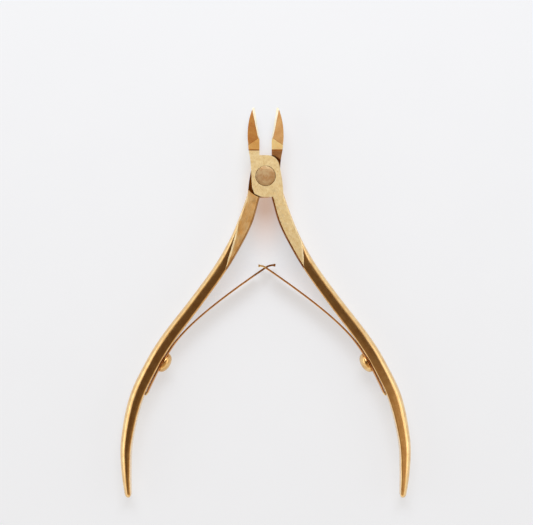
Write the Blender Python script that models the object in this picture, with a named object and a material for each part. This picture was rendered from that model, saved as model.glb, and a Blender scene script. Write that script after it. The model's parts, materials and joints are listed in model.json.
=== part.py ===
"""Cuticle nipper with a lap joint and two crossed leaf springs.

Units are metres.  The nipper lies on its back.  The origin is on the pivot's axis, in
the plane that it rests on.  +Y runs from the pivot to the blade tips, +X to the right
as seen from the front, and +Z up, along the pivot.

The front half is one forging: left jaw, front boss, right shank and right handle.  The
back half is its mirror image: right jaw, back boss, left shank and left handle.  The
pose is the open one, which the two leaf springs hold.
"""

from math import atan2, cos, pi, radians, sin, sqrt

import bmesh
import bpy
from mathutils import Matrix, Vector

MM = 0.001

# Overall sizes
BODY_DEPTH = 6.0 * MM
HANDLE_REACH = 85.2 * MM
HANDLE_SPREAD = 37.0 * MM
JAW_LENGTH = 18.5 * MM

# Lap joint
BOSS_RADIUS = 5.5 * MM
SHOULDER_CLEARANCE = 0.3 * MM
LAP_CLEARANCE = 0.15 * MM
BOSS_LEFT = 3.75 * MM
BOSS_RIGHT = 3.8 * MM
NOTCH_HALF_WIDTH = 1.62 * MM

# Jaws.  The curves give the share of the blade's length, or of the boss's radius, and
# the share of the width beside it.
EDGE_ANGLE = radians(9.2)
EDGE_START = 10.3 * MM
TIP_WIDTH = 0.45 * MM
JAW_BULGE = 4.75 * MM
JAW_BASE_WIDTH = 4.5 * MM
BLADE_CURVE = ((0.66, 0.89), (0.33, 0.98), (0.0, 1.0))
SHOULDER_CURVE = ((0.92, 0.92), (0.4, 0.855))
WAIST_CURVE = ((-0.45, 0.96), (-0.67, 0.88))
SHANK_SIDE_CURVE = ((-0.75, 1.224), (-0.25, 1.158), (0.36, 1.0), (0.6, 0.92), (0.79, 0.78))
NOTCH_SHARE = 0.94
JAW_NECK_SHARE = 0.498
STUB_CORNERS = ((2.5 * MM, 0.0), (3.1 * MM, 1.5 * MM), (4.6 * MM, 1.2 * MM))
STEP_HEIGHT = 7.0 * MM
STEP_DROP = 0.35 * MM
STEP_RAMP = 0.2 * MM
BLADE_DROP = 0.09 * MM
FACET_TILT = 0.36
FACET_FALL = 0.03
BLADE_TILT = 0.28
BLADE_FALL = 0.19
BEVEL_SLOPE = 2.0
BEVEL_REACH = 1.5 * MM
EDGE_LAND = 0.25 * MM

# Pivot rivet
PIVOT_HEAD_RADIUS = 2.57 * MM
PIVOT_HEAD_DEPTH = 0.8 * MM
PIVOT_SHANK_RADIUS = 1.7 * MM
PIVOT_CLEARANCE = 0.1 * MM

# Handle stations from the joint to the end: share of the spread, share of the reach,
# width in millimetres, share of the body's depth, and share of the width that is flat.
HANDLE_STATIONS = (
    (0.062, 0.0235, 3.20, 1.00, 0.97),
    (0.096, 0.0728, 3.40, 1.00, 0.97),
    (0.142, 0.1350, 3.75, 1.00, 0.96),
    (0.211, 0.2007, 3.50, 1.00, 0.70),
    (0.323, 0.2845, 3.35, 1.00, 0.12),
    (0.488, 0.3843, 3.40, 1.00, 0.10),
    (0.706, 0.5088, 3.60, 1.00, 0.10),
    (0.828, 0.5962, 3.65, 1.00, 0.10),
    (0.933, 0.6960, 3.60, 0.97, 0.10),
    (0.995, 0.8204, 3.10, 0.87, 0.10),
    (1.000, 0.9143, 2.55, 0.77, 0.10),
    (0.984, 1.0000, 1.60, 0.63, 0.10),
)
FLAT_LIMITS = (0.08, 0.97)
HANDLE_END_RADIUS = 1.2 * MM
HANDLE_END_SHARE = 0.3
HANDLE_STEPS = 56
HANDLE_STRIDE = 0.0005
SECTION_STEPS = 7

# Leaf springs
LEAF_THICKNESS = 0.45 * MM
LEAF_ROOT_WIDTH = 4.5 * MM
LEAF_TIP_WIDTH = 3.8 * MM
LEAF_CLEARANCE = 0.3 * MM
LEAF_SEAT_REACH = 49.0 * MM
LEAF_TAIL_LENGTH = 10.0 * MM
LEAF_TAIL_LIFT = 0.3 * MM
LEAF_BED_SHARE = 0.67
LEAF_FLAT_ABOVE_RIVET = 0.75 * MM
LEAF_ROOT_PULL = 0.15
LEAF_TIP_PULL = 0.75
LEAF_BOW = radians(7.8)
CROSSING_REACH = 24.15 * MM
LEAF_TAIL_STEPS = 14
LEAF_FREE_STEPS = 24
LEAF_TIP_STEPS = 8
TIP_TURN = radians(42.0)
TONGUE_TIP_LENGTH = 2.75 * MM
WINDOW_TIP_LENGTH = 2.0 * MM
TONGUE_WIDTH = 1.4 * MM
TONGUE_HALF_LENGTH = 1.0 * MM
TONGUE_HEAD_WIDTH = 3.0 * MM
WINDOW_CLEARANCE = 0.4 * MM
WINDOW_BELOW = 1.3 * MM
WINDOW_ABOVE = 1.0 * MM

# Spring rivets
DOME_RADIUS = 2.8 * MM
DOME_HEIGHT = 1.8 * MM
STUD_RADIUS = 1.0 * MM
STUD_DEPTH = 1.9 * MM
STUD_CLEARANCE = 0.2 * MM

ROUND_STEPS = 48
CUT = 20.0 * MM
SHARP_ANGLE = radians(32.0)
MIDDLE = BODY_DEPTH / 2
UP = Vector((0.0, 0.0, 1.0))
LEFT, RIGHT = -1, 1


def clear_scene():
    for item in list(bpy.data.objects):
        bpy.data.objects.remove(item, do_unlink=True)


def make_material(name, colour, roughness):
    """A metal finish: linear base colour and roughness."""
    finish = bpy.data.materials.new(name)
    finish.use_nodes = True
    shader = finish.node_tree.nodes["Principled BSDF"]
    shader.inputs["Base Color"].default_value = (*colour, 1.0)
    shader.inputs["Metallic"].default_value = 1.0
    shader.inputs["Roughness"].default_value = roughness
    finish.diffuse_color = (*colour, 1.0)
    return finish


def make_object(name, shape, finish=None):
    bmesh.ops.remove_doubles(shape, verts=shape.verts, dist=0.001 * MM)
    bmesh.ops.recalc_face_normals(shape, faces=shape.faces)
    mesh = bpy.data.meshes.new(name)
    shape.to_mesh(mesh)
    shape.free()
    mesh.shade_smooth()
    mesh.set_sharp_from_angle(angle=SHARP_ANGLE)
    item = bpy.data.objects.new(name, mesh)
    bpy.context.scene.collection.objects.link(item)
    if finish:
        mesh.materials.append(finish)
    else:
        item.hide_render = True
        item.display_type = "WIRE"
    return item


def combine(item, other, operation):
    """Join, or cut away, another solid with a live Boolean modifier."""
    step = item.modifiers.new(other.name, "BOOLEAN")
    step.operation = operation
    step.object = other
    step.solver = "EXACT"


def arc(radius, start, end, steps):
    """Points on a circle about the pivot, angles in degrees from +X."""
    turns = [radians(start + (end - start) * i / steps) for i in range(steps + 1)]
    return [(radius * cos(turn), radius * sin(turn)) for turn in turns]


def prism(outline, low, high):
    """A flat plate with the given outline, from one height to another."""
    shape = bmesh.new()
    corners = [shape.verts.new((x, y, low)) for x, y in outline]
    base = shape.faces.new(corners)
    made = bmesh.ops.extrude_face_region(shape, geom=[base])
    lifted = [part for part in made["geom"] if isinstance(part, bmesh.types.BMVert)]
    bmesh.ops.translate(shape, verts=lifted, vec=(0.0, 0.0, high - low))
    return shape


def turned(profile):
    """A solid of revolution about Z from (radius, height) points, pole to pole."""
    shape = bmesh.new()
    points = [shape.verts.new((radius, 0.0, height)) for radius, height in profile]
    edges = [shape.edges.new(pair) for pair in zip(points, points[1:])]
    bmesh.ops.spin(shape, geom=points + edges, axis=UP, cent=(0.0, 0.0, 0.0),
                   angle=2 * pi, steps=ROUND_STEPS, use_merge=True)
    bmesh.ops.remove_doubles(shape, verts=shape.verts, dist=0.001 * MM)
    return shape


def cylinder(radius, low, high):
    return turned([(0.0, low), (radius, low), (radius, high), (0.0, high)])


def loft(rings):
    """A closed solid through rings that have the same number of points."""
    shape = bmesh.new()
    loops = [[shape.verts.new(point) for point in ring] for ring in rings]
    count = len(loops[0])
    for lower, upper in zip(loops, loops[1:]):
        for i in range(count):
            j = (i + 1) % count
            shape.faces.new((lower[i], lower[j], upper[j], upper[i]))
    shape.faces.new(loops[0])
    shape.faces.new(loops[-1][::-1])
    return shape


def between(rows, share):
    """Catmull-Rom value, for every column, at a share of the way through the rows."""
    place = share * (len(rows) - 1)
    first = min(int(place), len(rows) - 2)
    t = place - first
    before = rows[max(first - 1, 0)]
    after = rows[min(first + 2, len(rows) - 1)]
    values = []
    for a, b, c, d in zip(before, rows[first], rows[first + 1], after):
        rise = (c - a) / 2
        fall = (d - b) / 2
        values.append((2 * t**3 - 3 * t**2 + 1) * b + (t**3 - 2 * t**2 + t) * rise
                      + (3 * t**2 - 2 * t**3) * c + (t**3 - t**2) * fall)
    return values


class Handle:
    """The centre line and the section of one handle; side is LEFT or RIGHT."""

    def __init__(self, side):
        self.side = side

    def centre(self, share):
        across, along = between(HANDLE_STATIONS, share)[:2]
        return Vector((self.side * across * HANDLE_SPREAD, -along * HANDLE_REACH, MIDDLE))

    def direction(self, share):
        step = 0.002
        ahead = self.centre(min(share + step, 1.0))
        behind = self.centre(max(share - step, 0.0))
        return (ahead - behind).normalized()

    def inward(self, share):
        """Unit vector from the centre line towards the other handle."""
        return UP.cross(self.direction(share)) * -self.side

    def width(self, share):
        return between(HANDLE_STATIONS, share)[2] * MM

    def inner_face(self, share):
        return self.centre(share) + self.inward(share) * self.width(share) / 2

    def share_along(self, share, distance):
        """The share at a distance from another one, measured on the centre line."""
        step = HANDLE_STRIDE if distance > 0 else -HANDLE_STRIDE
        covered = 0.0
        while covered < abs(distance):
            covered += (self.centre(share + step) - self.centre(share)).length
            share += step
        return share

    def share_at(self, reach):
        """The share of the centre line that lies at a distance below the pivot."""
        low, high = 0.0, 1.0
        for _ in range(40):
            middle = (low + high) / 2
            if -self.inner_face(middle).y < reach:
                low = middle
            else:
                high = middle
        return low

    def kept_clear(self, point, offset):
        """The point, moved inward where it is nearer to the inner face than the offset."""
        share = self.share_at(-point.y)
        inward = self.inward(share)
        gap = (point - self.inner_face(share)).dot(inward)
        return point + inward * max(offset - gap, 0.0)

    def ring(self, share, shrink):
        """D section: flat inner face, convex outer side, ground flat top and bottom."""
        _, _, width, depth, flat = between(HANDLE_STATIONS, share)
        width *= MM * shrink
        half = depth * shrink * BODY_DEPTH / 2
        flat = min(max(flat, FLAT_LIMITS[0]), FLAT_LIMITS[1])
        crest = half / sqrt(1 - flat**2)
        start = atan2(flat, sqrt(1 - flat**2))
        curve = [(0.0, half)]
        for i in range(SECTION_STEPS + 1):
            turn = start + (pi / 2 - start) * i / SECTION_STEPS
            curve.append((width * sin(turn), crest * cos(turn)))
        curve[1] = (width * flat, half)
        curve[-1] = (width, 0.0)
        lower = [(u, -z) for u, z in reversed(curve[:-1])]
        inward = self.inward(share)
        base = self.centre(share) + inward * width / 2
        return [base - inward * u + UP * z for u, z in curve + lower]

    def solid(self):
        rings = []
        rounded = 1.0 - self.share_along(1.0, -HANDLE_END_RADIUS)
        for i in range(HANDLE_STEPS + 1):
            share = i / HANDLE_STEPS * (1.0 - rounded)
            rings.append(self.ring(share, 1.0))
        for t in (0.5, 0.8, 1.0):
            shrink = max(sqrt(1 - t**2), HANDLE_END_SHARE)
            rings.append(self.ring(1.0 - rounded + t * rounded, shrink))
        return loft(rings)


def half_outline():
    """Plan of the front half's jaw and boss, with a stub that runs into the shank."""
    edge_x = EDGE_START * sin(EDGE_ANGLE)
    edge_y = EDGE_START * cos(EDGE_ANGLE)
    tip_x = JAW_LENGTH * sin(EDGE_ANGLE)
    tip_y = JAW_LENGTH * cos(EDGE_ANGLE)
    blade = tip_y - edge_y
    outer = [(-tip_x - TIP_WIDTH, tip_y)]
    outer += [(-JAW_BULGE * wide, edge_y + blade * along) for along, wide in BLADE_CURVE]
    outer.append((-(JAW_BULGE + JAW_BASE_WIDTH) * JAW_NECK_SHARE, (edge_y + STEP_HEIGHT) / 2))
    outer.append((-JAW_BASE_WIDTH, STEP_HEIGHT))
    outer += [(-JAW_BASE_WIDTH * wide, BOSS_RADIUS * along) for along, wide in SHOULDER_CURVE]
    left = [(-BOSS_LEFT * wide, BOSS_RADIUS * along) for along, wide in WAIST_CURVE]
    stub = [(x, -BOSS_RADIUS - y) for x, y in STUB_CORNERS]
    right = [(BOSS_RIGHT * wide, BOSS_RADIUS * along) for along, wide in SHANK_SIDE_CURVE]
    inner = [
        (-NOTCH_HALF_WIDTH, EDGE_START * NOTCH_SHARE),
        (-edge_x, edge_y),
        (-tip_x, tip_y),
    ]
    bottom = arc(BOSS_RADIUS, 238, 270, 5)
    top = arc(BOSS_RADIUS, 66, 107, 6)
    return outer + left + bottom + stub + right + top + inner


def above_plane(x0, height, tilt, fall, low_y):
    """Block over a sloping face that drops towards the cutting edge and the tip."""
    shape = bmesh.new()
    bmesh.ops.create_cube(shape, size=1.0)
    for corner in shape.verts:
        x = x0 - CUT / 2 + (corner.co.x + 0.5) * CUT
        y = low_y if corner.co.y < 0 else JAW_LENGTH + CUT / 2
        z = height - tilt * (x - x0) - fall * (y - STEP_HEIGHT)
        corner.co = (x, y, z if corner.co.z < 0 else z + CUT)
    return shape


def bevel_block():
    """Block over the narrow bevel that falls to the cutting edge."""
    shape = bmesh.new()
    bmesh.ops.create_cube(shape, size=1.0)
    for corner in shape.verts:
        y = STEP_HEIGHT if corner.co.y < 0 else JAW_LENGTH + CUT / 2
        aside = -BEVEL_REACH if corner.co.x < 0 else BEVEL_REACH
        floor = MIDDLE + EDGE_LAND / 2 - BEVEL_SLOPE * aside
        x = aside - y * sin(EDGE_ANGLE) / cos(EDGE_ANGLE)
        corner.co = (x, y, floor if corner.co.z < 0 else MIDDLE + CUT)
    return shape


def mirrored(shape, sideways, upside_down):
    if sideways:
        bmesh.ops.scale(shape, vec=(-1.0, 1.0, 1.0), verts=shape.verts)
    if upside_down:
        bmesh.ops.translate(shape, vec=(0.0, 0.0, -MIDDLE), verts=shape.verts)
        bmesh.ops.scale(shape, vec=(1.0, 1.0, -1.0), verts=shape.verts)
        bmesh.ops.translate(shape, vec=(0.0, 0.0, MIDDLE), verts=shape.verts)
    return shape


def pivot_profile(clearance, overrun):
    """Countersunk rivet, head to head; clearance makes it the hole that it fits."""
    head = PIVOT_HEAD_RADIUS + clearance
    shank = PIVOT_SHANK_RADIUS + clearance
    low = -overrun
    high = BODY_DEPTH + overrun
    slope = PIVOT_HEAD_RADIUS - PIVOT_SHANK_RADIUS
    lower = PIVOT_HEAD_DEPTH + clearance
    upper = BODY_DEPTH - PIVOT_HEAD_DEPTH - clearance
    return [
        (0.0, low), (head, low), (head, lower), (shank, lower + slope),
        (shank, upper - slope), (head, upper), (head, high), (0.0, high),
    ]


def spring_seat(side):
    """Frame of a leaf spring's rivet: Z leaves the handle's inner face, Y follows it."""
    handle = Handle(side)
    share = handle.share_at(LEAF_SEAT_REACH)
    inward = handle.inward(share)
    along = -handle.direction(share)
    frame = Matrix((along.cross(inward), along, inward)).transposed().to_4x4()
    frame.translation = handle.inner_face(share)
    return frame


def make_half(name, side, finish):
    """side is the handle's side; its jaw is on the other one."""
    back = side == LEFT
    body = make_object(name, mirrored(prism(half_outline(), 0.0, BODY_DEPTH), back, False), finish)
    handle = make_object(name + "_handle_form", Handle(side).solid())
    combine(body, handle, "UNION")
    shoulder = cylinder(BOSS_RADIUS + SHOULDER_CLEARANCE, -CUT, MIDDLE + LAP_CLEARANCE / 2)
    lap = make_object(name + "_lap_cut", mirrored(shoulder, False, back))
    combine(body, lap, "DIFFERENCE")
    hole = make_object(name + "_pivot_hole", turned(pivot_profile(PIVOT_CLEARANCE, CUT)))
    combine(body, hole, "DIFFERENCE")
    for under in (False, True):
        label = "under" if under else "upper"
        face = BODY_DEPTH - STEP_DROP
        facet = above_plane(-JAW_BULGE, face, FACET_TILT, FACET_FALL, STEP_HEIGHT)
        blade_face = BODY_DEPTH - BLADE_DROP
        blade_start = STEP_HEIGHT + STEP_RAMP
        blade = above_plane(-JAW_BULGE, blade_face, BLADE_TILT, BLADE_FALL, blade_start)
        for what, block in (("facet", facet), ("blade", blade), ("bevel", bevel_block())):
            cutter = make_object(f"{name}_{label}_{what}_cut", mirrored(block, back, under))
            combine(body, cutter, "DIFFERENCE")
    depth = STUD_DEPTH + STUD_CLEARANCE
    stud = make_object(name + "_stud_hole", cylinder(STUD_RADIUS + STUD_CLEARANCE, -depth, CUT / 4))
    stud.matrix_world = spring_seat(side)
    combine(body, stud, "DIFFERENCE")
    return body


def leaf_line(side, tip_length):
    """Centre line of a leaf spring from its tail to its tip, and its rise at the crossing.

    The tail lies along the handle.  The free part is one cubic curve that starts along
    the handle's inner face, never nearer to it than the tail, and rises to the crossing
    by less than its chord does.
    """
    handle = Handle(side)
    offset = LEAF_CLEARANCE + LEAF_THICKNESS / 2
    seat = handle.share_at(LEAF_SEAT_REACH)
    tail = handle.share_along(seat, LEAF_TAIL_LENGTH)
    top = handle.share_along(seat, -LEAF_FLAT_ABOVE_RIVET)
    points = []
    for i in range(LEAF_TAIL_STEPS + 1):
        along = i / LEAF_TAIL_STEPS
        share = tail + (top - tail) * along
        lift = LEAF_TAIL_LIFT * max(1.0 - along / LEAF_BED_SHARE, 0.0) if i else 0.0
        points.append(handle.inner_face(share) + handle.inward(share) * (offset + lift))
    start = points[-1]
    end = Vector((0.0, -CROSSING_REACH, MIDDLE))
    chord = end - start
    rise = atan2(chord.y, abs(chord.x)) - LEAF_BOW
    arrival = Vector((-side * cos(rise), sin(rise), 0.0))
    ahead = handle.share_along(top, -LEAF_ROOT_PULL * chord.length)
    first = handle.inner_face(ahead) + handle.inward(ahead) * offset
    second = end - arrival * LEAF_TIP_PULL * chord.length
    for i in range(1, LEAF_FREE_STEPS + 1):
        t = i / LEAF_FREE_STEPS
        point = (1 - t)**3 * start + 3 * (1 - t)**2 * t * first
        point += 3 * (1 - t) * t**2 * second + t**3 * end
        points.append(handle.kept_clear(point, offset))
    for i in range(LEAF_TIP_STEPS):
        turn = rise - TIP_TURN * (i + 0.5) / LEAF_TIP_STEPS
        step = Vector((-side * cos(turn), sin(turn), 0.0)) * tip_length / LEAF_TIP_STEPS
        points.append(points[-1] + step)
    return points, rise


def leaf_strip(points):
    """A flat strip along the centre line, narrower towards the crossing."""
    crossing = len(points) - 1 - LEAF_TIP_STEPS
    rings = []
    for i, point in enumerate(points):
        ahead = points[min(i + 1, len(points) - 1)] - points[max(i - 1, 0)]
        across = UP.cross(ahead).normalized() * LEAF_THICKNESS / 2
        share = min(i / crossing, 1.0)
        rise = UP * (LEAF_ROOT_WIDTH + (LEAF_TIP_WIDTH - LEAF_ROOT_WIDTH) * share) / 2
        rings.append([point - across - rise, point + across - rise,
                      point + across + rise, point - across + rise])
    return loft(rings)


def crossing_block(side, rise, near, far, low, high):
    """Block square to a leaf at the crossing, from near to far along the leaf."""
    shape = bmesh.new()
    bmesh.ops.create_cube(shape, size=1.0)
    for corner in shape.verts:
        along = near if corner.co.x < 0 else far
        depth = low if corner.co.z < 0 else high
        corner.co = (along, corner.co.y * CUT / 5, depth)
    turn = Matrix.Rotation(rise, 4, "Z")
    place = Matrix.Translation((0.0, -CROSSING_REACH, MIDDLE))
    bmesh.ops.transform(shape, matrix=place @ turn, verts=shape.verts)
    return mirrored(shape, side == RIGHT, False)


def make_leaf(name, side, finish):
    tongue = side == LEFT
    tip_length = TONGUE_TIP_LENGTH if tongue else WINDOW_TIP_LENGTH
    points, rise = leaf_line(side, tip_length)
    leaf = make_object(name, leaf_strip(points), finish)
    hole = make_object(name + "_hole", cylinder(STUD_RADIUS + STUD_CLEARANCE, -CUT / 4, CUT / 4))
    hole.matrix_world = spring_seat(side)
    combine(leaf, hole, "DIFFERENCE")
    cuts = []
    if tongue:
        for low, high in ((TONGUE_WIDTH / 2, CUT / 2), (-CUT / 2, -TONGUE_WIDTH / 2)):
            cuts.append((-TONGUE_HALF_LENGTH, TONGUE_HALF_LENGTH, low, high))
        for low, high in ((TONGUE_HEAD_WIDTH / 2, CUT / 2), (-CUT / 2, -TONGUE_HEAD_WIDTH / 2)):
            cuts.append((TONGUE_HALF_LENGTH / 2, CUT / 4, low, high))
    else:
        half = TONGUE_WIDTH / 2 + WINDOW_CLEARANCE
        cuts.append((-WINDOW_BELOW, WINDOW_ABOVE, -half, half))
    for number, (near, far, low, high) in enumerate(cuts):
        block = crossing_block(side, rise, near, far, low, high)
        combine(leaf, make_object(f"{name}_cut_{number}", block), "DIFFERENCE")
    return leaf


def make_spring_rivet(name, side, finish):
    """Domed head on the leaf and a stud that is set into the handle."""
    base = 2 * LEAF_CLEARANCE + LEAF_THICKNESS
    ball = (DOME_RADIUS**2 + DOME_HEIGHT**2) / (2 * DOME_HEIGHT)
    profile = [(0.0, -STUD_DEPTH), (STUD_RADIUS, -STUD_DEPTH), (STUD_RADIUS, base)]
    for i in range(9):
        radius = DOME_RADIUS * cos(pi / 2 * i / 8)
        height = DOME_HEIGHT - ball + sqrt(ball**2 - radius**2)
        profile.append((radius, base + height))
    profile[-1] = (0.0, base + DOME_HEIGHT)
    rivet = make_object(name, turned(profile), finish)
    rivet.matrix_world = spring_seat(side)
    return rivet


def main():
    clear_scene()
    satin = make_material("satin_gold", (0.78, 0.60, 0.28), 0.35)
    polished = make_material("polished_gold", (0.74, 0.50, 0.20), 0.15)
    spring = make_material("spring_gold", (0.55, 0.30, 0.10), 0.25)
    rivet = make_material("rivet_gold", (0.62, 0.38, 0.18), 0.30)
    dome = make_material("dome_gold", (0.80, 0.52, 0.18), 0.12)
    make_half("front_half", RIGHT, satin)
    make_half("back_half", LEFT, polished)
    make_object("pivot_rivet", turned(pivot_profile(0.0, 0.0)), rivet)
    for label, side in (("left", LEFT), ("right", RIGHT)):
        make_leaf(label + "_leaf_spring", side, spring)
        make_spring_rivet(label + "_spring_rivet", side, dome)


main()
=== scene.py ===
"""Looks of a gold cuticle nipper: two forged halves, a pivot rivet and crossed leaf springs.

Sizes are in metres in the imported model's frame: +Y runs from the pivot to the blade
tips, +X to the right and +Z up along the pivot.  The nipper lies on the plane z = 0.
"""

import json
import logging
from collections.abc import Sequence
from dataclasses import dataclass
from enum import Enum, IntEnum
from math import asin, atan2, cos, pi, radians, sin, tan

import bmesh
import bpy
import numpy as np
from mathutils import Matrix, Vector

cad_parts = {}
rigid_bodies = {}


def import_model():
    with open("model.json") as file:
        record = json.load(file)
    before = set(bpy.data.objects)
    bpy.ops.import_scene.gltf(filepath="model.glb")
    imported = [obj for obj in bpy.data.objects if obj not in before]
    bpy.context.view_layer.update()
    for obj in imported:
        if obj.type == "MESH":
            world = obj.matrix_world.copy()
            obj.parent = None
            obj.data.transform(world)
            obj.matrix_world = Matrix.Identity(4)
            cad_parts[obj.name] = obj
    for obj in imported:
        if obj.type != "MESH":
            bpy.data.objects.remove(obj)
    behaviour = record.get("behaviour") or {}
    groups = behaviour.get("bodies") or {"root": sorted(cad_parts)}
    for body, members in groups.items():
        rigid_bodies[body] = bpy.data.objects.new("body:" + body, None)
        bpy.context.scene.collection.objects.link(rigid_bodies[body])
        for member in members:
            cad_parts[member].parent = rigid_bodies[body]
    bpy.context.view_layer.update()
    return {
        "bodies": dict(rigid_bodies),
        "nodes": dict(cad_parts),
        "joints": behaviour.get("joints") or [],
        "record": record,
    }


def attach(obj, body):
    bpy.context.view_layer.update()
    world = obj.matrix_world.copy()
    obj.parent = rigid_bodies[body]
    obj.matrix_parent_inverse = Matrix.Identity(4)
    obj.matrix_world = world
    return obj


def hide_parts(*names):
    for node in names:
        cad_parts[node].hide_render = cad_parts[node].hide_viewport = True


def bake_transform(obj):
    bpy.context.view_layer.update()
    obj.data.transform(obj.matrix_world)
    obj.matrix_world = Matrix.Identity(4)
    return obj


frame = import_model()

MM = 0.001
DEPTH = 6.0 * MM  # thickness of the tool
UP = Vector((0.0, 0.0, 1.0))
# Points nearer than this are one, and a block that cuts reaches this far past a piece.
WELD = 0.0005 * MM
BLOCK = 20.0 * MM
# Noise values between which a patch or a mark fades in, and how the marks count in the
# tone and in the roughness.
PATCH_FADE = (0.36, 0.64)
MARK_FADE = (0.3, 0.7)
MARK_TONE = 0.4
MARK_GLOSS = (0.8, 1.25)
LOG = logging.getLogger("cuticle_nipper")
Shape = bmesh.types.BMesh
Piece = bpy.types.Object
Ring = list[Vector]
Plan = list[tuple[float, float]]
Rows = Sequence[tuple[float, ...]]
Span = tuple[float, float]
Sloped = tuple[float, float, float]


class Side(IntEnum):
    """Which handle a piece belongs to; the value is the sign of its X."""

    LEFT = -1
    RIGHT = 1


class Zone(IntEnum):
    """Regions of a forged half, in the order of its material slots."""

    GROUND_FLAT = 0
    POLISHED = 1
    PAINTED_HIGHLIGHT_EDGE = 2
    FACET = 3
    BLADE = 4
    STEP = 5
    CUTTING_BEVEL = 6
    LAP = 7
    INNER_EDGE = 8
    JAW_BASE = 9


class Pattern(Enum):
    """How the marks of a finish run."""

    ALONG_HANDLE = "along the handle"
    ACROSS = "across the blade"
    TURNED = "round the rivet's axis"
    ALONG_LEAF = "along the strip"
    EVERY_WAY = "no direction"


def linear(hex_colour: str) -> tuple[float, float, float, float]:
    """Turns an sRGB hex colour into linear values.

    Args:
        hex_colour: Six hex digits, with or without a leading "#".

    Returns:
        Red, green, blue and an alpha of one.
    """
    digits = hex_colour.lstrip("#")
    values = []
    for start in (0, 2, 4):
        value = int(digits[start:start + 2], 16) / 255
        values.append(value / 12.92 if value <= 0.04045 else ((value + 0.055) / 1.055) ** 2.4)
    return (*values, 1.0)


def add_node(tree: bpy.types.NodeTree, kind: str, inputs: dict | None = None,
             **settings: object) -> bpy.types.Node:
    """Adds a node with its settings, values and links.

    Args:
        tree: The node tree to add to.
        kind: The node's type name.
        inputs: Values or output sockets by input name or number.
        **settings: Attributes set on the node.

    Returns:
        The new node.
    """
    node = tree.nodes.new(kind)
    for name, value in settings.items():
        setattr(node, name, value)
    for socket, value in (inputs or {}).items():
        if isinstance(value, bpy.types.NodeSocket):
            tree.links.new(value, node.inputs[socket])
        else:
            node.inputs[socket].default_value = value
    return node


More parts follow.
